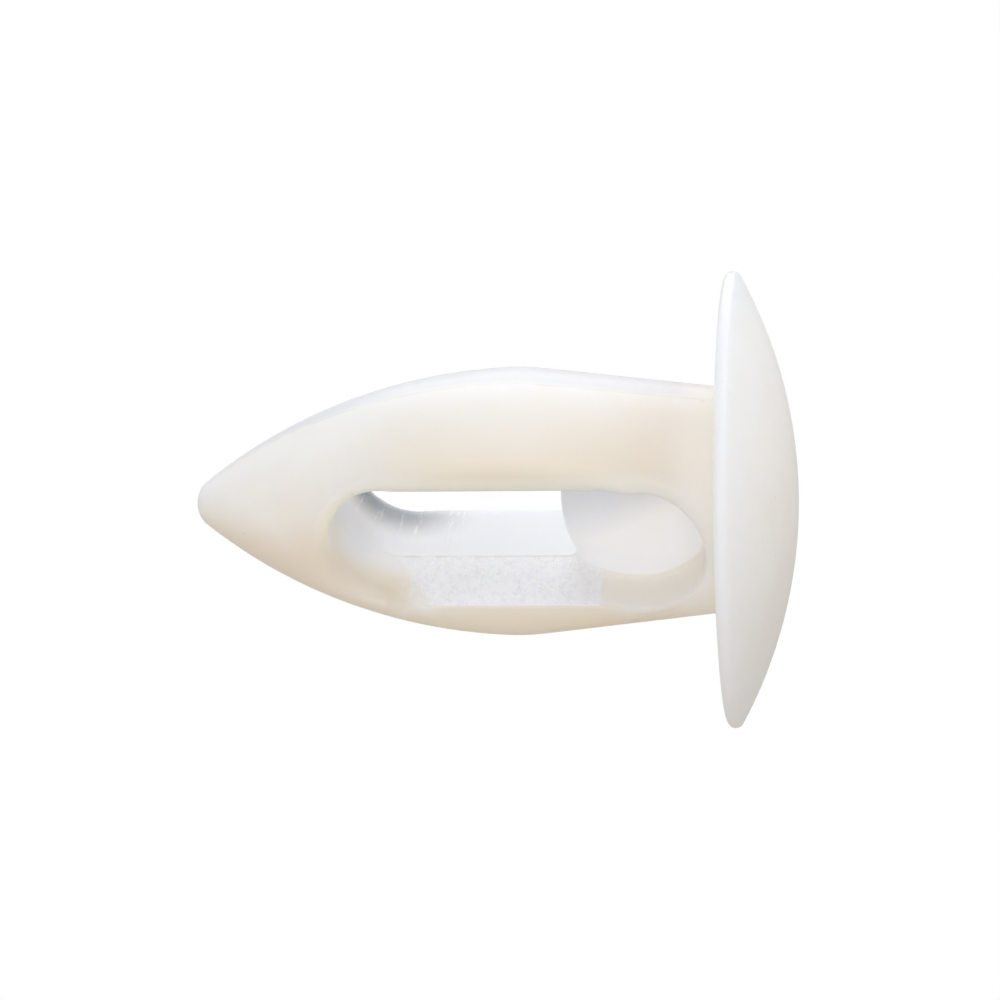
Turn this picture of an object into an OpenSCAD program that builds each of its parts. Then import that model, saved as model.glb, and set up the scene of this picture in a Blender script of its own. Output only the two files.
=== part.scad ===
// Push-in panel clip, moulded in one piece of natural nylon: a thin domed head and a
// slotted shank with a long rounded nose. The two limbs beside the slot spring together
// as the clip is pushed through a round hole and open again behind the panel.
// The clip stands on its head: the crown of the dome is at z = 0 and +Z runs along the
// shank to the nose. The slot runs through along Y, with one limb on each side of it in X.
// Heights named "above the seat" start at the flat underside of the head.

/* [Head] */
// Diameter of the head
head_d = 12.7; // [10.5:0.1:16]
// Thickness of the head, from the crown of the dome to the seat
head_h = 1.95; // [1.5:0.05:3]
// Thickness of the rounded rim at the edge of the head
rim_t = 0.4; // [0.2:0.05:0.8]

/* [Shank] */
// Length of the shank, from the seat to the end of the tip
shank_l = 15.1; // [13.5:0.1:18]
// Diameter of the shank where it leaves the seat
neck_d = 6.25; // [5.6:0.05:7]
// Diameter of the shank at its widest
belly_d = 7.55; // [6.8:0.05:8.4]
// Height of the widest place above the seat
belly_h = 5.55; // [4.8:0.05:6.6]
// Diameter of the flat at the end of the tip
tip_d = 0.56; // [0.3:0.02:1.2]
// Rounding between the flat end of the tip and the nose
tip_r = 0.25; // [0.1:0.05:0.6]

/* [Flats] */
// Thickness of the shank across its two flats
flat_t = 5.2; // [4.4:0.05:6]
// Height above the seat at which the flats begin to run out to the round neck
flat_z = 3.46; // [2.4:0.05:4.4]
// Radius of the run-out at the foot of each flat
flat_r = 1.1; // [0.5:0.05:2]

/* [Slot] */
// Width of the slot between the limbs
slot_w = 3.66; // [2.6:0.02:4.2]
// Height of the lower end of the slot above the seat
slot_z = 0.45; // [0.3:0.05:1]
// Height of the upper end of the slot above the seat
slot_top = 10.95; // [9.5:0.05:12]

/* [Web] */
// Thickness of the web that closes the lower part of the slot
web_t = 2.3; // [1.4:0.05:3]
// Height of the web's nose above the seat
web_top = 4.7; // [3.6:0.05:5.6]
// Radius of the web's nose, seen through the slot
web_nose_r = 4.05; // [3:0.05:6]
// Radius of the two flanks that meet along the web's nose
web_flank_r = 1.75; // [1.55:0.05:3]
// Radius in the corner between the web and the lower end of the slot
web_fillet_r = 1.1; // [0.4:0.05:1.4]

/* [Hidden] */
$fn = 96;

// Rounded rim of the head: its radius, and the place of its centre
rim_r = rim_t / 2;
rim_x = head_d / 2 - rim_r;
rim_z = head_h - rim_r;
// Dome that touches the crown and runs smoothly into the rim
dome_r = (pow(rim_x, 2) + pow(rim_z, 2) - pow(rim_r, 2)) / (2 * (rim_z - rim_r));
// Place where the dome meets the rim
touch_x = rim_x * dome_r / (dome_r - rim_r);
touch_z = dome_r - (dome_r - rim_z) * dome_r / (dome_r - rim_r);
// Arc of the nose: level with the axis at the widest place, running smoothly into the tip
nose_l = shank_l - tip_r - belly_h;
nose_in = (belly_d - tip_d) / 2;
nose_r = (pow(nose_l, 2) + pow(nose_in, 2) - pow(tip_r, 2)) / (2 * (nose_in - tip_r));
nose_x = belly_d / 2 - nose_r;
// Place where the nose meets the rounding of the tip
end_x = nose_x + (tip_d / 2 - nose_x) * nose_r / (nose_r - tip_r);
end_z = belly_h + nose_l * nose_r / (nose_r - tip_r);
// Length of the web's curved flanks
flank_l = sqrt(web_flank_r * web_t - pow(web_t / 2, 2));
// Length of cutting bodies that pass right through the shank, and their overlap
through = belly_d + 2;
over = 0.5;

// Half outline of the head, from the crown to the seat
module head_outline() {
    intersection() {
        translate([0, dome_r]) circle(dome_r, $fn = 360);
        polygon([[0, 0], [touch_x, 0], [touch_x, touch_z], [rim_x, rim_z],
                 [rim_x, head_h], [0, head_h]]);
    }
    translate([rim_x, rim_z]) circle(rim_r);
}

// Half outline of the shank above the seat: tapered body, arched nose and blunt tip
module shank_outline() {
    polygon([[0, -over], [neck_d / 2, -over], [neck_d / 2, 0],
             [belly_d / 2, belly_h], [0, belly_h]]);
    intersection() {
        translate([nose_x, belly_h]) circle(nose_r, $fn = 720);
        polygon([[0, belly_h], [belly_d / 2, belly_h], [belly_d / 2, end_z], [end_x, end_z],
                 [tip_d / 2, belly_h + nose_l], [tip_d / 2, shank_l], [0, shank_l]]);
    }
    translate([tip_d / 2, belly_h + nose_l]) circle(tip_r);
}

// Head and shank turned about the axis of the clip, before the slot is cut
module turned_body() {
    rotate_extrude($fn = 180) {
        head_outline();
        translate([0, head_h]) shank_outline();
    }
}

// Side outline of one flat: straight beside the limbs, running out in an arc at its foot
module flat_outline() {
    translate([flat_t / 2, flat_z]) square([through, shank_l]);
    translate([flat_t / 2 + flat_r, flat_z]) circle(flat_r);
    translate([flat_t / 2 + flat_r, flat_z - flat_r]) square([through, flat_r + over]);
}

// Bodies that plane the front and back of the shank down to the flats
module flats() {
    for (side = [0, 1])
        mirror([0, side, 0])
            rotate([90, 0, 90])
                translate([0, 0, -through / 2])
                    linear_extrude(through) flat_outline();
}

// Outline of the slot with its two round ends
module slot_outline() {
    r = slot_w / 2;
    translate([-r, slot_z + r]) square([slot_w, slot_top - slot_z - slot_w]);
    translate([0, slot_z + r]) circle(r);
    translate([0, slot_top - r]) circle(r);
}

// Half section of the web's rounded edge, turned about the centre of its nose
module web_outline() {
    flank_x = web_nose_r - flank_l;
    translate([0, -web_t / 2]) square([flank_x, web_t]);
    intersection() {
        translate([flank_x, web_t / 2 - web_flank_r]) circle(web_flank_r);
        translate([flank_x, web_flank_r - web_t / 2]) circle(web_flank_r);
        translate([flank_x, -web_t / 2]) square([flank_l, web_t]);
    }
}

// Web with its bow-shaped nose, reaching down below the lower end of the slot
module web() {
    translate([0, 0, web_top - web_nose_r])
        rotate([90, 0, 0]) rotate_extrude() web_outline();
    translate([-slot_w / 2 - over, -web_t / 2, slot_z - over])
        cube([slot_w + 2 * over, web_t, web_fillet_r + over]);
}

// Hollow corners between the web's faces and the lower end of the slot
module web_fillets() {
    for (side = [0, 1])
        mirror([0, side, 0])
            rotate([90, 0, 90])
                translate([web_t / 2, slot_z, -slot_w / 2 - over])
                    linear_extrude(slot_w + 2 * over)
                        difference() {
                            translate([-over, -over]) square(web_fillet_r + over);
                            translate([web_fillet_r, web_fillet_r]) circle(web_fillet_r);
                        }
}

// Open part of the slot: the whole slot less the web and its fillets
module slot_space() {
    difference() {
        rotate([90, 0, 0])
            translate([0, 0, -through / 2])
                linear_extrude(through) slot_outline();
        web();
        web_fillets();
    }
}

// The whole clip, one moulded piece
module clip() {
    color([0.93, 0.91, 0.86])
        difference() {
            turned_body();
            translate([0, 0, head_h]) {
                flats();
                slot_space();
            }
        }
}

clip();
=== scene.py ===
"""Looks of a push-in panel clip moulded in one piece of natural nylon.

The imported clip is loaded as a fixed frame. One smooth skin with softened edges stands for its solid, dressed in a
slightly see-through nylon, and a pale floor, soft studio lamps and the photograph's camera are set round it.
"""

import logging
import math
from dataclasses import dataclass, field
from enum import Enum
from typing import Callable

import bpy
import numpy as np
from mathutils import Matrix, Vector


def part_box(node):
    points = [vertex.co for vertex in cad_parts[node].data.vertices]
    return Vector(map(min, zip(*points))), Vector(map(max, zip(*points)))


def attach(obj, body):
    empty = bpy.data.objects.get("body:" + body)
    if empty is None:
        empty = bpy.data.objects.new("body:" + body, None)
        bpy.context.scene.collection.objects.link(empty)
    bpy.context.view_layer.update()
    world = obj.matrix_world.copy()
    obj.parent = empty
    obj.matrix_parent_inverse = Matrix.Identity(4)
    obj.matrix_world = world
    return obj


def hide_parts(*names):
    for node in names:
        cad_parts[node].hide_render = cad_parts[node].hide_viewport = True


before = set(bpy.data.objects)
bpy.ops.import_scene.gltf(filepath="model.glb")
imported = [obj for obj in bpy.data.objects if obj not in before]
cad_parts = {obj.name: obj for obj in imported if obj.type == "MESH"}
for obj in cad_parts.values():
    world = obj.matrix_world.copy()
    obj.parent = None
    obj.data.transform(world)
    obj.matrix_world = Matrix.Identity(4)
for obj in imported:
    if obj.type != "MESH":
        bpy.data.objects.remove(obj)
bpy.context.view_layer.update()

log = logging.getLogger("clip")
MM = 0.001
Array = np.ndarray
# How far the skin's head stays inside the solid's box, in millimetres
HEAD_INSET = 0.004


# Blends between distance fields


def soft_max(a: Array, b: Array, reach: float) -> Array:
    """Greater of two fields, rounded by a parabola where they differ by less than reach.

    Args:
        a: First field.
        b: Second field.
        reach: Width of the rounding, in the fields' unit.

    Returns:
        The blended field.
    """
    near = np.maximum(reach - np.abs(a - b), 0.0) / reach
    return np.maximum(a, b) + near * near * reach / 4


def smooth(share: Array) -> Array:
    """Smooth step from 0 to 1 as share goes from 0 to 1."""
    t = np.clip(share, 0.0, 1.0)
    return t * t * (3 - 2 * t)


def round_meet(a: Array, b: Array, radius: float) -> Array:
    """Shape inside both a and b, its outer edge a circular arc of the given radius."""
    corner = np.hypot(np.maximum(a + radius, 0.0), np.maximum(b + radius, 0.0))
    return np.minimum(np.maximum(a, b), -radius) + corner


def round_join(a: Array, b: Array, radius: float) -> Array:
    """Shape inside a or b, the hollow corner between them an arc of the given radius."""
    return -round_meet(-a, -b, radius)


@dataclass
class Head:
    """Thin domed head with a full round rim; sizes in millimetres, crown at z = 0.

    Attributes:
        diameter: Diameter of the head.
        height: Thickness from the crown to the flat seat.
        rim: Thickness of the rim.
    """

    diameter: float
    height: float = 1.95
    rim: float = 0.4

    def field(self, rho: Array, z: Array) -> Array:
        """Distance to the head's surface.

        Below the rim's tangent line the surface is a sphere through the crown and the flat seat; beyond it the surface
        is the ring swept by the rim's circle, which the sphere touches from inside.

        Args:
            rho: Distance from the axis.
            z: Height above the crown.

        Returns:
            Signed distance, negative inside.
        """
        r = self.rim / 2
        cx, cz = self.diameter / 2 - r, self.height - r
        dome = (cx * cx + cz * cz - r * r) / (2 * (cz - r))
        nx, nz = cx / (dome - r), (cz - dome) / (dome - r)
        qx, qz = rho - cx, z - cz
        ring = np.hypot(qx, qz) - r
        disc = np.maximum(np.hypot(rho, z - dome) - dome, z - self.height)
        return np.where((nx * qz - nz * qx >= 0) & (qx >= 0), ring, disc)


@dataclass
class Shank:
    """Tapered shank with an arched nose and two flats; sizes in millimetres above the seat.

    Attributes:
        length: Length from the seat to the end of the tip.
        neck: Diameter at the seat.
        belly: Largest diameter.
        belly_z: Height of the largest diameter.
        tip: Diameter of the flat end.
        tip_round: Rounding of the tip's edge.
        flats: Thickness across the two flats.
        flats_z: Height at which the flats begin to run out.
        flats_round: Radius of the run-out.
        belly_soft: Width of the rounding at the largest diameter.
        flats_soft: Width of the rounding between the flats and the turned shank.
    """

    length: float
    neck: float = 6.25
    belly: float = 7.55
    belly_z: float = 5.55
    tip: float = 0.56
    tip_round: float = 0.25
    flats: float = 5.2
    flats_z: float = 3.46
    flats_round: float = 1.1
    belly_soft: float = 0.06
    flats_soft: float = 0.35

    def turned(self, rho: Array, h: Array) -> Array:
        """Distance to the turned shank: an arc swept about the axis, met by a cone below and a flat tip above.

        Args:
            rho: Distance from the axis.
            h: Height above the seat.

        Returns:
            Signed distance, negative inside.
        """
        rise = self.length - self.tip_round - self.belly_z
        inset = (self.belly - self.tip) / 2
        arc = (rise**2 + inset**2 - self.tip_round**2) / (2 * (inset - self.tip_round))
        nose = np.hypot(rho - self.belly / 2 + arc, np.maximum(h - self.belly_z, 0.0)) - arc
        slope = (self.belly - self.neck) / 2 / self.belly_z
        cone = (rho - self.neck / 2 - slope * h) / math.hypot(1.0, slope)
        return round_meet(soft_max(nose, cone, self.belly_soft), h - self.length, self.tip_round)

    def planed(self, y: Array, h: Array) -> Array:
        """Distance to what the two flats leave: planes beside the limbs that run out in an arc at their foot."""
        away = self.flats / 2 + self.flats_round - np.abs(y)
        runout = np.hypot(np.maximum(away, 0.0), self.flats_z - h) - self.flats_round
        return -np.where(h >= self.flats_z, self.flats / 2 - np.abs(y), runout)

    def field(self, rho: Array, y: Array, h: Array) -> Array:
        """Distance to the turned shank after its front and back are planed flat."""
        return soft_max(self.turned(rho, h), self.planed(y, h), self.flats_soft)


@dataclass
class Slot:
    """Slot through the shank and the web left in its lower part; sizes in millimetres above the seat.

    Attributes:
        width: Width between the limbs.
        low: Height of the lower round end.
        top: Height of the upper round end.
        web: Thickness of the web.
        web_top: Height of the web's nose.
        web_nose: Radius of the nose, seen through the slot.
        web_flank: Radius of the two flanks that meet along the nose.
        web_fillet: Radius between the web and the lower end of the slot.
        web_corner: Rounding where the web meets the limbs.
        web_edge: Half width of the blunt edge along the web's nose.
    """

    width: float = 3.66
    low: float = 0.45
    top: float = 10.95
    web: float = 2.3
    web_top: float = 4.7
    web_nose: float = 4.05
    web_flank: float = 1.75
    web_fillet: float = 1.1
    web_corner: float = 0.3
    web_edge: float = 0.12

    def web_field(self, x: Array, y: Array, h: Array) -> Array:
        """Distance to the web: a disc across the slot whose edge is two arcs, with a hollow fillet at its foot.

        Args:
            x: Place between the limbs.
            y: Place through the slot.
            h: Height above the seat.

        Returns:
            Signed distance, negative inside the web.
        """
        half, flank = self.web / 2, self.web_flank
        side = np.where(np.abs(y) < self.web_edge, (y * y / self.web_edge + self.web_edge) / 2, np.abs(y))
        start = self.web_nose - math.sqrt(flank * self.web - half**2)
        reach = np.hypot(x, h - self.web_top + self.web_nose)
        edge = np.hypot(reach - start, side + flank - half) - flank
        disc = np.where(reach < start, side - half, edge)
        f = self.web_fillet
        bowl = f - np.hypot(h - self.low - f, np.abs(y) - half - f)
        foot = np.maximum(bowl, np.maximum(h - self.low - f, np.abs(y) - half - f))
        return np.minimum(disc, foot)

    def field(self, x: Array, y: Array, h: Array) -> Array:
        """Distance to the open space of the slot: a straight slot with round ends, less the web."""
        r = self.width / 2
        middle = np.clip(h, self.low + r, self.top - r)
        return round_meet(np.hypot(x, h - middle) - r, -self.web_field(x, y, h), self.web_corner)


@dataclass
class Stretch:
    """Stretch of a sampling axis: from start to end in steps of at most step, in millimetres."""

    start: float
    end: float
    step: float

    def lines(self) -> Array:
        """Evenly spaced sampling lines, without the last one."""
        return np.linspace(self.start, self.end, math.ceil((self.end - self.start) / self.step), endpoint=False)


class Axis(Enum):
    """Sampling axes of the skin: fine where edges are tight, coarse where the form is calm."""

    ACROSS = (Stretch(0, 1.5, 0.125), Stretch(1.5, 2.15, 0.055), Stretch(2.15, 4.1, 0.1), Stretch(4.1, 5.95, 0.185),
              Stretch(5.95, 6.45, 0.07))
    THROUGH = (Stretch(0, 1.5, 0.1), Stretch(1.5, 2.25, 0.125), Stretch(2.25, 2.9, 0.065), Stretch(2.9, 3.9, 0.1),
               Stretch(3.9, 5.95, 0.185), Stretch(5.95, 6.45, 0.07))
    UP = (Stretch(-0.12, 1.5, 0.08), Stretch(1.5, 2.1, 0.06), Stretch(2.1, 16.3, 0.1), Stretch(16.3, 17.25, 0.07))

    def lines(self) -> Array:
        """Sampling lines of the axis; the two level axes are the same on both sides of the middle."""
        half = np.concatenate([s.lines() for s in self.value] + [[self.value[-1].end]])
        return half if self is Axis.UP else np.concatenate([-half[:0:-1], half])


def net_surface(solid: Callable[[Array], Array], lines: list[Array]) -> tuple[Array, Array]:
    """Closed quad net on the zero level of a field, one vertex in each grid cell that the surface crosses.

    A vertex is the mean of the places where the cell's twelve edges cross zero. Each grid edge with a change of sign
    gives one quad, whose corners are the vertices of the four cells round that edge.

    Args:
        solid: Field, negative inside, of points in rows.
        lines: Sampling lines along each of the three axes.

    Returns:
        Vertices and quads.
    """
    shape = tuple(len(a) for a in lines)
    grid = np.stack(np.meshgrid(*lines, indexing="ij"), -1)
    value = solid(grid.reshape(-1, 3)).reshape(shape)
    inside = value < 0
    cells = tuple(n - 1 for n in shape)
    total, count = np.zeros(cells + (3,)), np.zeros(cells)
    crossings = []
    for axis in range(3):
        first = tuple(slice(0, -1) if a == axis else slice(None) for a in range(3))
        last = tuple(slice(1, None) if a == axis else slice(None) for a in range(3))
        cross = inside[first] != inside[last]
        share = np.where(cross, value[first] / np.where(cross, value[first] - value[last], 1.0), 0.0)
        place = grid[first] + share[..., None] * (grid[last] - grid[first])
        place *= cross[..., None]
        others = [a for a in range(3) if a != axis]
        for i in (0, 1):
            for j in (0, 1):
                cut = [slice(None)] * 3
                cut[others[0]] = slice(i, i + cells[others[0]])
                cut[others[1]] = slice(j, j + cells[others[1]])
                total += place[tuple(cut)]
                count += cross[tuple(cut)]
        crossings.append((axis, others, cross, inside[first]))
    used = count > 0
    index = np.full(cells, -1, dtype=np.int64)
    index[used] = np.arange(used.sum())
    quads = []
    for axis, others, cross, starts_inside in crossings:
        inner = [slice(None)] * 3
        inner[others[0]] = slice(1, -1)
        inner[others[1]] = slice(1, -1)
        at = np.argwhere(cross[tuple(inner)])
        flip = ~starts_inside[tuple(inner)][tuple(at.T)]
        at[:, others] += 1
        step = np.zeros((4, 3), dtype=np.int64)
        step[[0, 3], others[0]] = -1
        step[[0, 1], others[1]] = -1
        corner = at[:, None, :] + step
        quad = index[corner[..., 0], corner[..., 1], corner[..., 2]]
        # Seen along the middle axis, the other two run the other way round
        if axis == 1:
            flip = ~flip
        quad[flip] = quad[flip][:, ::-1]
        quads.append(quad)
    return total[used] / count[used][:, None], np.concatenate(quads)


@dataclass
class ClipSkin:
    """Smooth skin of the whole clip, one moulded piece.

    Attributes:
        head: Domed head.
        shank: Shank above the seat.
        slot: Slot and web.
        neck_round: Rounding between the neck and the seat.
        edge_round: Rounding of the slot's rims along the straight stretch.
        foot_round: Rounding of the rims beside the web.
        nose_round: Rounding of the front rim at the nose end.
        scoop_round: Rounding of that rim on the lower limb, where it runs out smoothly.
        straight: Heights above the seat between which the rims stay sharp.
        foot_over: Height over which the rims open below the straight stretch.
        nose_over: Height over which the front rim opens above it, on the upper limb.
        scoop_over: The same height on the lower limb.
        scoop_lead: How much earlier the rim opens there.
        scoop_from: Place between the limbs where the change to the lower limb's rim begins.
        scoop_across: Width of that change.
        settle_rounds: Newton's steps that bring the net onto the surface.
        least_slope: Least squared slope that a step divides by.
        relax_rounds: Rounds of evening out the net.
        relax_share: Share of the way to the neighbours' mean in each round.
        probe: Half width of the differences that give the slope.
    """

    head: Head
    shank: Shank
    slot: Slot = field(default_factory=Slot)
    neck_round: float = 0.1
    edge_round: float = 0.09
    foot_round: float = 0.14
    nose_round: float = 0.3
    scoop_round: float = 0.9
    straight: tuple[float, float] = (3.5, 8.9)
    foot_over: float = 0.25
    nose_over: float = 1.7
    scoop_over: float = 1.0
    scoop_lead: float = 0.3
    scoop_from: float = 1.0
    scoop_across: float = 2.2
    settle_rounds: int = 3
    least_slope: float = 0.05
    relax_rounds: int = 4
    relax_share: float = 0.5
    probe: float = 1e-4

    def solid(self, point: Array) -> Array:
        """Distance to the clip's surface.

        The head and the shank are joined with a small fillet, and the open space of the slot is taken out with a
        rounded rim, tight along the straight stretch and opening out smoothly at both ends.

        Args:
            point: Points in rows, in millimetres.

        Returns:
            Signed distance of each point, negative inside.
        """
        x, y, z = point.T
        rho, h = np.hypot(x, y), z - self.head.height
        shank = np.maximum(self.shank.field(rho, y, h), self.head.height / 2 - z)
        body = round_join(self.head.field(rho, z), shank, self.neck_round)
        low, top = self.straight
        lower = smooth((self.scoop_from - x) / self.scoop_across)
        foot = smooth((low - h) / self.foot_over)
        over = self.nose_over + (self.scoop_over - self.nose_over) * lower
        nose = smooth((h - top + self.scoop_lead * lower) / over)
        opened = self.nose_round + (self.scoop_round - self.nose_round) * lower
        rim = self.edge_round + (self.foot_round - self.edge_round) * foot
        rim = rim + (opened - self.edge_round) * nose * (y < 0)
        return round_meet(body, -self.slot.field(x, y, h), rim)

    def slope(self, point: Array) -> Array:
        """Gradient of the field by central differences."""
        shift = np.eye(3) * self.probe
        return np.stack([self.solid(point + s) - self.solid(point - s) for s in shift], -1) / (2 * self.probe)

    def settle(self, point: Array) -> Array:
        """Points moved onto the surface along the field's gradient, by Newton's step."""
        for _ in range(self.settle_rounds):
            g = self.slope(point)
            point = point - g * (self.solid(point) / np.maximum((g * g).sum(1), self.least_slope))[:, None]
        return point

    def relax(self, point: Array, quads: Array) -> Array:
        """Points slid along the surface half way to the mean of their neighbours, then settled again."""
        a, b = quads.ravel(), np.roll(quads, 1, axis=1).ravel()
        ends, others = np.concatenate([a, b]), np.concatenate([b, a])
        number = np.bincount(ends, minlength=len(point))
        for _ in range(self.relax_rounds):
            mean = np.stack([np.bincount(ends, point[others, k], len(point)) for k in range(3)], -1)
            move = mean / number[:, None] - point
            g = self.slope(point)
            g /= np.linalg.norm(g, axis=1, keepdims=True)
            point = self.settle(point + self.relax_share * (move - g * (move * g).sum(1, keepdims=True)))
        return point

    def build(self) -> bpy.types.Object:
        """Nets the surface, evens it out and makes the piece.

        Returns:
            The skin as one object at the origin, in metres.
        """
        point, quads = net_surface(self.solid, [a.lines() for a in Axis])
        point = self.relax(self.settle(point), quads)
        normal = self.slope(point)
        normal /= np.linalg.norm(normal, axis=1, keepdims=True)
        mesh = bpy.data.meshes.new("clip_skin")
        mesh.vertices.add(len(point))
        mesh.vertices.foreach_set("co", (point * MM).astype(np.float32).ravel())
        mesh.loops.add(quads.size)
        mesh.loops.foreach_set("vertex_index", quads.astype(np.int32).ravel())
        mesh.polygons.add(len(quads))
        mesh.polygons.foreach_set("loop_start", np.arange(0, quads.size, 4, dtype=np.int32))
        mesh.update(calc_edges=True)
        mesh.polygons.foreach_set("use_smooth", np.ones(len(quads), dtype=bool))
        mesh.normals_split_custom_set_from_vertices(normal.astype(np.float32).tolist())
        mesh.validate()
        skin = bpy.data.objects.new("clip_skin", mesh)
        bpy.context.scene.collection.objects.link(skin)
        return skin

    def dress(self, skin: bpy.types.Object, material: bpy.types.Material) -> None:
        """Gives the skin its nylon and ties it to the frame."""
        skin.data.materials.append(material)
        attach(skin, "root")
        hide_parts("clip")


class Graph:
    """Short names for the shader nodes of one node tree."""

    def __init__(self, tree: bpy.types.NodeTree) -> None:
        """Keeps the tree that nodes are added to."""
        self.tree = tree

    def node(self, kind: str, **values: object) -> bpy.types.Node:
        """Adds a node and sets its own properties."""
        made = self.tree.nodes.new(kind)
        for name, value in values.items():
            setattr(made, name, value)
        return made

    def feed(self, socket: bpy.types.NodeSocket, value: object) -> None:
        """Links a socket to another, or sets its value."""
        if isinstance(value, bpy.types.NodeSocket):
            self.tree.links.new(value, socket)
        else:
            socket.default_value = value

    def math(self, operation: str, a: object, b: object = 0.0, clamp: bool = False) -> bpy.types.NodeSocket:
        """Math node of one or two values."""
        made = self.node("ShaderNodeMath", operation=operation, use_clamp=clamp)
        self.feed(made.inputs[0], a)
        self.feed(made.inputs[1], b)
        return made.outputs[0]

    def times(self, first: object, *others: object) -> bpy.types.NodeSocket:
        """Product of values; of masks, where all of them hold."""
        for other in others:
            first = self.math("MULTIPLY", first, other)
        return first

    def most(self, first: object, *others: object) -> bpy.types.NodeSocket:
        """Greatest of values; of masks, where any of them holds."""
        for other in others:
            first = self.math("MAXIMUM", first, other)
        return first

    def rest(self, share: object) -> bpy.types.NodeSocket:
        """What a share leaves of one; of a mask, where it does not hold."""
        return self.math("SUBTRACT", 1.0, share)

    def span(self, value: object, low: float, high: object, start: object = 0.0, end: object = 1.0,
             ) -> bpy.types.NodeSocket:
        """Smooth step of a value from low to high, put out from start to end."""
        made = self.node("ShaderNodeMapRange", interpolation_type="SMOOTHSTEP")
        for socket, v in zip(made.inputs[:5], (value, low, high, start, end)):
            self.feed(socket, v)
        return made.outputs[0]

    def noise(self, vector: object, scale: float, detail: float = 2.0, rough: float = 0.5) -> bpy.types.NodeSocket:
        """Value of a noise texture."""
        made = self.node("ShaderNodeTexNoise")
        self.feed(made.inputs["Vector"], vector)
        for name, v in (("Scale", scale), ("Detail", detail), ("Roughness", rough)):
            self.feed(made.inputs[name], v)
        return made.outputs[0]

    def stretch(self, vector: object, scale: tuple[float, float, float]) -> bpy.types.NodeSocket:
        """Vector scaled along its three axes."""
        made = self.node("ShaderNodeVectorMath", operation="MULTIPLY")
        self.feed(made.inputs[0], vector)
        self.feed(made.inputs[1], scale)
        return made.outputs[0]

    def tint(self, share: object, a: object, b: object) -> bpy.types.NodeSocket:
        """Colour a turning to b as share goes from 0 to 1; a mix node's colours come after its other sockets."""
        made = self.node("ShaderNodeMix", data_type="RGBA")
        self.feed(made.inputs[0], share)
        self.feed(made.inputs[6], a)
        self.feed(made.inputs[7], b)
        return made.outputs[2]


def linear(red: int, green: int, blue: int) -> tuple[float, float, float, float]:
    """Screen colour from 0 to 255 as the linear colour that a shader takes."""
    part = np.array([red, green, blue]) / 255
    line = np.where(part <= 0.04045, part / 12.92, ((part + 0.055) / 1.055) ** 2.4)
    return (*line.tolist(), 1.0)


def bare_material(name: str) -> tuple[bpy.types.Material, Graph]:
    """New material with an empty node tree, and the graph to fill it."""
    material = bpy.data.materials.new(name)
    material.use_nodes = True
    material.node_tree.nodes.clear()
    return material, Graph(material.node_tree)


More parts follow.
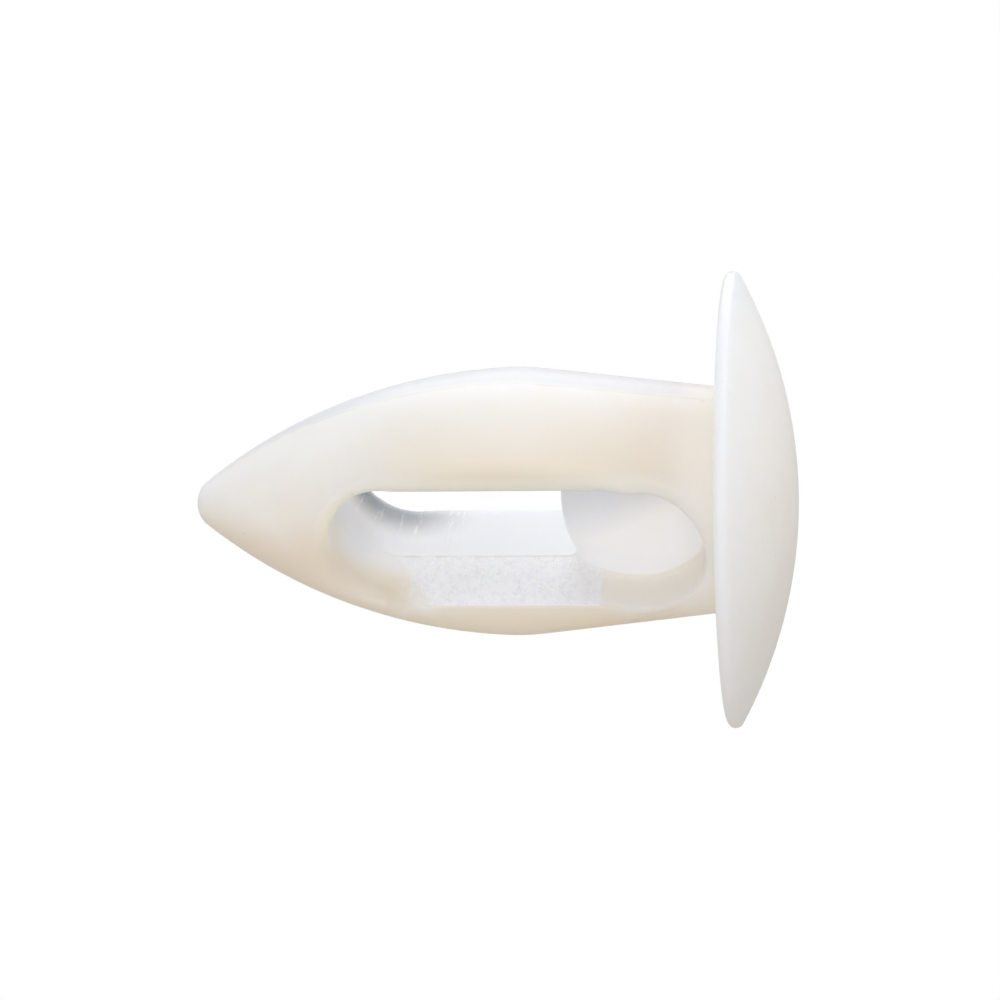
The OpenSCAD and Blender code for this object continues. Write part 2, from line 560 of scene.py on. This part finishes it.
@dataclass(frozen=True)
class NaturalNylon:
    """Natural nylon: cream in the mass, paler inside the slot, with the marks that its mould leaves and with light and
    shade painted into its colour in places.

    Attributes:
        slot: Slot of the clip.
        seat: Height of the seat above the crown, in millimetres.
        cream: Screen colour of the outer skin.
        milk: Screen colour of its paler clouds.
        rim_shade: Painted shade on the skin round the slot, a darker and yellower colour.
        rim_light: Painted light along the front rim of the upper limb, a brighter and yellower glow.
        end_shade: Painted shade at the smooth end of the slot, below its front rim.
        neck_light: Painted light on the neck beside the head, lightening the shade in that corner.
        back_rim_shadow: Painted shadow under the back rim of that end.
        pale: Screen colour inside the slot, partly its own whitened finish and partly painted light.
        web: Screen colour of the shaded side of the web.
        rear_shade: Painted shade on the shank behind the parting line, a greyer colour that holds down the light from
            behind.
        white: Screen colour of the bright marks on the worn stretch and the back half, partly their worn pattern and
            partly painted glints.
        pit: Screen colour of the pits in the worn stretch.
        line: Screen colour of the parting line.
        pad_low: Height above the crown where the spark-worn stretch of the slot walls begins, in millimetres.
        pad_top: Height where it ends at the parting line.
        pad_slant: How much lower it ends for each millimetre towards the front.
        shadow_start: Distance behind the parting plane where the painted shadow under the back rim begins.
        shadow_end: Distance where it is full.
        ior: Refractive index.
        glow: How far light spreads in the nylon, in millimetres.
        glow_shares: Shares of that distance for red, green and blue.
        relief: Depth of the mould's marks, in millimetres.
        relief_strength: Strength of those marks.
    """

    slot: Slot
    seat: float
    cream: tuple[int, int, int] = (236, 230, 220)
    milk: tuple[int, int, int] = (238, 233, 224)
    rim_shade: tuple[int, int, int] = (230, 217, 198)
    rim_light: tuple[int, int, int] = (253, 236, 208)
    end_shade: tuple[int, int, int] = (227, 214, 196)
    neck_light: tuple[int, int, int] = (250, 241, 230)
    back_rim_shadow: tuple[int, int, int] = (64, 92, 114)
    pale: tuple[int, int, int] = (255, 253, 249)
    web: tuple[int, int, int] = (221, 224, 230)
    rear_shade: tuple[int, int, int] = (223, 219, 214)
    white: tuple[int, int, int] = (255, 255, 255)
    pit: tuple[int, int, int] = (244, 244, 243)
    line: tuple[int, int, int] = (176, 174, 170)
    pad_low: float = 5.47
    pad_top: float = 11.6
    pad_slant: float = 0.5
    shadow_start: float = 0.6
    shadow_end: float = 2.6
    ior: float = 1.53
    glow: float = 3.2
    glow_shares: tuple[float, float, float] = (0.92, 0.84, 0.7)
    relief: float = 0.02
    relief_strength: float = 0.7

    def places(self) -> bpy.types.NodeTree:
        """Makes the group that finds the mould's places, and the places where light and shade are painted, from a place
        in millimetres.

        Each span runs between two places in millimetres, and the small steps about a place say how softly a mask ends.

        Returns:
            The group, with masks for the slot's pale surface (partly painted light), its worn stretch, its back half,
            the painted shade at its smooth end, the painted shade on the skin round its rim, the painted light along
            its front rim, the painted shadow under its back rim, the painted shade on the web, the parting line, the
            painted light on the neck beside the head and the painted shade on the shank behind the parting line.
        """
        group = bpy.data.node_groups.new("mould_and_painted_light_places", "ShaderNodeTree")
        group.interface.new_socket("Place", in_out="INPUT", socket_type="NodeSocketVector")
        for name in ("Slot", "Worn", "Back", "EndShade", "RimShade", "RimLight", "BackRimShadow", "Web", "Line", "NeckLight", "RearShade"):
            group.interface.new_socket(name, in_out="OUTPUT", socket_type="NodeSocketFloat")
        g = Graph(group)
        given, result = g.node("NodeGroupInput"), g.node("NodeGroupOutput")
        split = g.node("ShaderNodeSeparateXYZ")
        g.feed(split.inputs[0], given.outputs[0])
        x, y, z = split.outputs
        r, seat, top = self.slot.width / 2, self.seat, self.pad_top

        # Distance from the slot's middle line; the slot's walls are at r
        middle = g.math("MINIMUM", g.most(z, seat + self.slot.low + r), seat + self.slot.top - r)
        rise = g.math("SUBTRACT", z, middle)
        away = g.math("SQRT", g.math("ADD", g.times(x, x), g.times(rise, rise)))
        inside = g.span(away, r + 0.004, r + 0.03, 1, 0)
        outside = g.rest(inside)
        wall = g.span(away, r - 0.2, r - 0.06)
        beside = g.span(away, r - 0.02, r + 0.04)
        front = g.span(y, -0.05, 0.0, 1, 0)

        # Worn stretch of the front walls, what lies above and below it, the back half and the web
        above = g.span(g.math("SUBTRACT", z, g.times(y, self.pad_slant)), top - 0.6, top + 0.5)
        below = g.span(z, self.pad_low - 0.1, self.pad_low + 0.06, 1, 0)
        worn = g.times(wall, inside, front, g.rest(above), g.rest(below))
        back = g.times(inside, g.rest(front))
        web = g.times(inside, g.rest(wall))

        # Painted shade at the smooth end of the slot: darker and yellower below the front rim, and a dark painted
        # shadow under the back rim
        nose = g.times(above, g.span(away, r + 0.3, r + 1.4, 1, 0))
        end_shade = g.times(nose, g.span(g.math("ADD", y, g.times(x, 0.9)), -1.3, -3.4))
        back_rim_shadow = g.times(g.span(y, self.shadow_start, self.shadow_end), g.span(z, top - 2.8, top + 0.2), inside)

        # Painted shade on the skin round the rim: weaker beside the nose on the upper limb, and added along the lower
        # side of the nose
        rim = g.most(g.span(x, 0.5, -0.5), g.span(away, r, r + 0.6, 0.5, 1.0))
        rim = g.times(rim, beside, g.span(away, r + 0.4, r + 2.2, 1, 0), g.span(z, seat + 0.1, seat + 2.2))
        calm = g.times(g.span(z, top - 2.2, top + 1.3), g.span(x, -0.6, 0.9), 0.7)
        under = g.times(g.span(x, 0.8, -0.6), g.span(z, top - 0.5, top + 1.5), g.span(y, 0.6, -0.4),
                        g.span(away, r, r + 0.4), 0.8)
        rim = g.most(g.times(rim, g.rest(calm)), under)
        # Painted light: a brighter, yellower glow along the front rim of the upper limb, standing in for light bounced
        # up into the slot
        edge = g.times(g.span(x, -0.7, 0.7), beside, front, g.span(away, r + 0.05, r + 0.5, 1, 0))

        # Parting line: broken up, faint outside the slot, and gone on the web and at the smooth end
        ended = g.times(inside, g.span(z, top - 0.4, top + 0.4))
        line = g.times(g.span(g.math("ABSOLUTE", y), 0.0, 0.09, 1, 0), g.span(z, seat, seat + 0.05),
                       g.span(g.noise(given.outputs[0], 1.3, 2.0), 0.4, 0.6, 0.3, 1.0), g.rest(web), g.rest(ended),
                       g.math("ADD", g.times(inside, 0.7), 0.3))

        # Pale surface of the slot, partly its own whitened finish and partly painted light, spilling over its rim on
        # the lower limb and fading towards the foot and the nose
        spill = g.span(x, 0.6, -1.2, r + 0.05, r + 0.5)
        end = g.times(above, g.span(away, r, spill, 1, 0))
        foot = g.times(front, wall, below, inside, g.span(y, -2.6, -0.8, 0.1, 0.5))
        high = g.span(g.math("SUBTRACT", z, g.times(y, 0.25)), top + 1.0, top + 1.8, 1.0, 0.4)
        pale = g.times(g.most(worn, back, web, end, foot), high)

        # Painted shade on the side of the web away from the light, painted light on the neck beside the head, and
        # painted shade on the shank behind the parting line
        far = g.math("ADD", x, g.times(g.math("SUBTRACT", z, seat + self.slot.low + 2.1), 0.5))
        face = g.times(g.span(x, -1.6, -1.1, 0.0, 0.3), g.span(z, seat + 1.2, seat + 1.8))
        shade = g.times(web, g.most(g.span(far, -1.0, 1.4), face))
        neck = g.times(g.span(z, seat + 1.6, seat + 0.1), g.span(z, seat - 0.02, seat), outside)
        rear_shade = g.times(g.span(y, -0.12, 0.3), outside, g.span(z, seat, seat + 1.5))

        for name, mask in (("Slot", pale), ("Worn", worn), ("Back", back), ("EndShade", end_shade), ("RimShade", rim), ("RimLight", edge),
                           ("BackRimShadow", back_rim_shadow), ("Web", shade), ("Line", line), ("NeckLight", neck), ("RearShade", rear_shade)):
            g.feed(result.inputs[name], mask)
        return group

    def build(self) -> bpy.types.Material:
        """Makes the material: coats of colour from the mass outwards, then gloss, relief and glow.

        Returns:
            The nylon, reading Object coordinates in millimetres.
        """
        material, g = bare_material("natural_nylon")
        shader = g.node("ShaderNodeBsdfPrincipled")
        g.feed(g.node("ShaderNodeOutputMaterial").inputs[0], shader.outputs[0])
        place = g.stretch(g.node("ShaderNodeTexCoord").outputs["Object"], (1 / MM,) * 3)
        # The group's masks hold the mould's marks and the places where light and shade are painted
        mould = g.node("ShaderNodeGroup", node_tree=self.places())
        g.feed(mould.inputs[0], place)
        slot, worn, back, end_shade, rim, edge, back_rim_shadow, web, line, neck, rear_shade = mould.outputs

        cloud = g.span(g.noise(place, 0.45, 3.0, 0.55), 0.35, 0.65)
        grain = g.noise(place, 5.0, 4.0, 0.6)
        pits = g.noise(g.stretch(place, (5.0, 2.2, 4.5)), 1.0, 3.0, 0.6)
        worms = g.math("ABSOLUTE", g.math("SUBTRACT", g.noise(g.stretch(place, (3.0, 1.8, 4.2)), 1.0, 1.0), 0.5))
        worms = g.times(g.span(worms, 0.035, 0.01), g.span(g.noise(place, 2.6, 1.0), 0.45, 0.6))
        streaks = g.noise(g.stretch(place, (3.0, 0.9, 9.0)), 1.0, 3.0, 0.6)
        # Bright marks on the worn stretch and the back half: partly their worn pattern, partly painted glints
        flecks_and_glints = g.math("ADD", g.times(worn, worms), g.times(back, g.span(streaks, 0.58, 0.7, 0.0, 0.8)), clamp=True)
        specks = g.span(g.noise(place, 5.5, 0.0), 0.85, 0.88, 0.0, 0.15)
        # Painted light and shade among the coats: the skin round the rim, the slot's smooth end, the shadow under its
        # back rim, the web and the shank behind the parting line get painted shade; the front rim of the upper limb and
        # the neck get painted light; the slot's pale coat is partly painted light, and the bright marks are partly
        # painted glints
        coats = ((cloud, self.milk), (rim, self.rim_shade), (edge, self.rim_light), (rear_shade, self.rear_shade), (neck, self.neck_light),
                 (slot, self.pale), (end_shade, self.end_shade), (back_rim_shadow, self.back_rim_shadow), (web, self.web),
                 (g.times(worn, g.span(pits, 0.56, 0.4)), self.pit), (g.times(flecks_and_glints, g.rest(back_rim_shadow)), self.white),
                 (g.times(line, 0.45), self.line), (specks, self.line))
        color = linear(*self.cream)
        for share, shade in coats:
            color = g.tint(share, color, linear(*shade))
        g.feed(shader.inputs["Base Color"], color)

        rough = g.math("ADD", g.span(grain, 0.3, 0.7, 0.28, 0.4), g.times(slot, 0.15))
        g.feed(shader.inputs["Roughness"], rough)
        g.feed(shader.inputs["Specular IOR Level"], g.math("ADD", g.times(slot, 0.4), 0.2))
        height = g.times(grain, 0.15)
        wear = g.times(g.math("ADD", pits, worms), worn)
        for mark, share in ((wear, 2.5), (g.times(streaks, back), 0.8), (line, 0.5)):
            height = g.math("ADD", height, g.times(mark, share))
        bump = g.node("ShaderNodeBump")
        g.feed(bump.inputs["Height"], height)
        bump.inputs["Strength"].default_value = self.relief_strength
        bump.inputs["Distance"].default_value = self.relief * MM
        g.feed(shader.inputs["Normal"], bump.outputs[0])
        shader.inputs["IOR"].default_value = self.ior
        shader.inputs["Subsurface Weight"].default_value = 1.0
        shader.inputs["Subsurface Radius"].default_value = self.glow_shares
        shader.inputs["Subsurface Scale"].default_value = self.glow * MM
        return material


@dataclass(frozen=True)
class PaleFloor:
    """Matt pale floor, seen only from above and open to all other light.

    Attributes:
        pale: Screen colour of the floor.
        shade: Screen colour of its faint clouds.
        clouds: Scale of the clouds, to the metre.
        roughness: Roughness of its surface.
    """

    pale: tuple[int, int, int] = (240, 240, 240)
    shade: tuple[int, int, int] = (236, 236, 236)
    clouds: float = 90.0
    roughness: float = 0.8

    def build(self) -> bpy.types.Material:
        """Makes the material.

        Returns:
            The floor's finish, clear to every ray but a camera's from above.
        """
        material, g = bare_material("pale_floor")
        seen = g.times(g.node("ShaderNodeLightPath").outputs["Is Camera Ray"],
                       g.rest(g.node("ShaderNodeNewGeometry").outputs["Backfacing"]))
        matt = g.node("ShaderNodeBsdfPrincipled")
        cloud = g.span(g.noise(g.node("ShaderNodeTexCoord").outputs["Object"], self.clouds, 3.0), 0.3, 0.7)
        g.feed(matt.inputs["Base Color"], g.tint(cloud, linear(*self.pale), linear(*self.shade)))
        matt.inputs["Roughness"].default_value = self.roughness
        mix = g.node("ShaderNodeMixShader")
        for socket, value in zip(mix.inputs, (seen, g.node("ShaderNodeBsdfTransparent").outputs[0], matt.outputs[0])):
            g.feed(socket, value)
        g.feed(g.node("ShaderNodeOutputMaterial").inputs[0], mix.outputs[0])
        return material


@dataclass
class PhotoCamera:
    """The photograph's camera, given by how the clip lies in the picture.

    Attributes:
        aim: Height on the axis that the camera looks at, in millimetres.
        distance: Distance to that point, in millimetres.
        turn: Angle about the clip's axis from the slot's direction towards one limb, in degrees.
        dip: Angle towards the head, in degrees.
        roll: Turn of the picture, in degrees.
        lens: Focal length, in millimetres.
        sensor: Width of the sensor, in millimetres.
        sight: Nearest and farthest distance that the camera sees, in millimetres.
        shift: Upward shift of the picture, as a share of its width.
    """

    aim: float = 8.365
    distance: float = 84.4
    turn: float = 31.0
    dip: float = 8.0
    roll: float = 0.38
    lens: float = 108.0
    sensor: float = 36.0
    sight: tuple[float, float] = (1.0, 10000.0)
    shift: float = 0.001

    def build(self) -> bpy.types.Object:
        """Makes the camera: nose to the left, the nearer limb's side up.

        Returns:
            The camera object.
        """
        t, d, w = (math.radians(a) for a in (self.turn, self.dip, self.roll))
        back = Vector((math.cos(d) * math.sin(t), -math.cos(d) * math.cos(t), -math.sin(d)))
        up = Vector((math.cos(t), math.sin(t), 0.0))
        right = up.cross(back)
        right, up = right * math.cos(w) - up * math.sin(w), up * math.cos(w) + right * math.sin(w)
        data = bpy.data.cameras.new("photo_camera")
        data.sensor_width, data.lens = self.sensor, self.lens
        data.clip_start, data.clip_end = (d * MM for d in self.sight)
        data.shift_y = self.shift
        camera = bpy.data.objects.new("photo_camera", data)
        place = (Vector((0, 0, self.aim)) + back * self.distance) * MM
        camera.matrix_world = Matrix((right, up, back)).transposed().to_4x4()
        camera.location = place
        bpy.context.scene.collection.objects.link(camera)
        bpy.context.scene.camera = camera
        return camera


@dataclass
class Lamp:
    """Soft square lamp that faces the clip.

    Attributes:
        name: Name of the lamp.
        way: Direction from the clip to the lamp.
        far: Distance, in millimetres.
        size: Side of the square, in millimetres.
        power: Power in milliwatts.
        color: Colour of the light.
    """

    name: str
    way: tuple[float, float, float]
    far: float
    size: float
    power: float
    color: tuple[float, float, float]

    def build(self, aim: Vector) -> bpy.types.Object:
        """Makes the lamp, turned to the point aim in metres."""
        data = bpy.data.lights.new(self.name, "AREA")
        data.shape, data.size = "SQUARE", self.size * MM
        data.energy, data.color = self.power * MM, self.color
        lamp = bpy.data.objects.new(self.name, data)
        lamp.visible_camera = False
        way = Vector(self.way).normalized()
        lamp.location = aim + way * self.far * MM
        lamp.rotation_euler = way.to_track_quat("Z", "Y").to_euler()
        bpy.context.scene.collection.objects.link(lamp)
        return lamp


@dataclass
class Studio:
    """Pale floor, white surroundings and soft lamps.

    Attributes:
        floor_side: Side of the floor, in millimetres.
        floor_finish: Finish of the floor.
        sky_low: Light from the side of the lower limb.
        sky_high: Light from the side of the upper limb.
        sky_mirrored: Share of plain white where the sky is mirrored.
        lamps: The soft lamps.
    """

    floor_side: float = 3000.0
    floor_finish: PaleFloor = PaleFloor()
    sky_low: tuple[float, float, float] = (0.46, 0.41, 0.335)
    sky_high: tuple[float, float, float] = (0.51, 0.545, 0.67)
    sky_mirrored: float = 0.4
    lamps: list[Lamp] = field(default_factory=lambda: [
        Lamp("front_lamp", (0.3, -0.95, 0.1), 140.0, 130.0, 86.0, (0.99, 0.975, 0.95)),
        Lamp("back_lamp", (0.5, 0.87, 0.0), 140.0, 130.0, 95.0, (0.92, 0.96, 1.0)),
        Lamp("head_lamp", (0.7, -0.12, -0.7), 32.0, 30.0, 3.6, (0.92, 0.96, 1.0)),
        Lamp("nose_lamp", (0.62, 0.24, 0.75), 36.0, 36.0, 2.5, (0.78, 0.92, 1.0)),
    ])

    def build_floor(self) -> bpy.types.Object:
        """Makes the floor: a flat square under the crown.

        Returns:
            The floor object.
        """
        half = self.floor_side / 2 * MM
        mesh = bpy.data.meshes.new("floor")
        mesh.from_pydata([(-half, -half, 0), (half, -half, 0), (half, half, 0), (-half, half, 0)], [], [(0, 1, 2, 3)])
        mesh.materials.append(self.floor_finish.build())
        floor = bpy.data.objects.new("floor", mesh)
        bpy.context.scene.collection.objects.link(floor)
        return floor

    def build_sky(self) -> None:
        """Makes the world: plain white where it is seen, a soft gradient from limb to limb where it lights."""
        world = bpy.data.worlds.new("studio_sky")
        world.use_nodes = True
        bpy.context.scene.world = world
        g = Graph(world.node_tree)
        path = g.node("ShaderNodeLightPath").outputs
        seen = g.most(path["Is Camera Ray"], g.times(path["Is Glossy Ray"], self.sky_mirrored),
                      path["Is Transmission Ray"])
        split = g.node("ShaderNodeSeparateXYZ")
        g.feed(split.inputs[0], g.node("ShaderNodeTexCoord").outputs["Generated"])
        rise = g.times(g.math("ADD", split.outputs[0], 1.0), 0.5)
        light = g.tint(rise, (*self.sky_low, 1.0), (*self.sky_high, 1.0))
        sky = world.node_tree.nodes["Background"]
        g.feed(sky.inputs[0], g.tint(seen, light, (1.0, 1.0, 1.0, 1.0)))

    def build(self, aim: Vector) -> None:
        """Makes the floor, the sky and the lamps round the point aim in metres."""
        self.build_floor()
        self.build_sky()
        for lamp in self.lamps:
            lamp.build(aim)


def main() -> None:
    """Builds the skin, its nylon and the studio in order, and keeps the two boxes."""
    low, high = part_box("clip")
    head = Head(diameter=min(high.x - low.x, high.y - low.y) / MM - HEAD_INSET)
    shank = Shank(length=(high.z - low.z) / MM - head.height)
    clip = ClipSkin(head, shank)
    skin = clip.build()
    clip.dress(skin, NaturalNylon(clip.slot, head.height).build())
    log.info("%s: %d quads", skin.name, len(skin.data.polygons))
    camera = PhotoCamera().build()
    log.info("%s: lens %.0f mm", camera.name, camera.data.lens)
    Studio().build((low + high) / 2)
    log.info("studio: floor, sky and lamps")
    bpy.context.scene.view_settings.view_transform = "Standard"


if __name__ == "__main__":
    logging.basicConfig(level=logging.INFO)
    main()
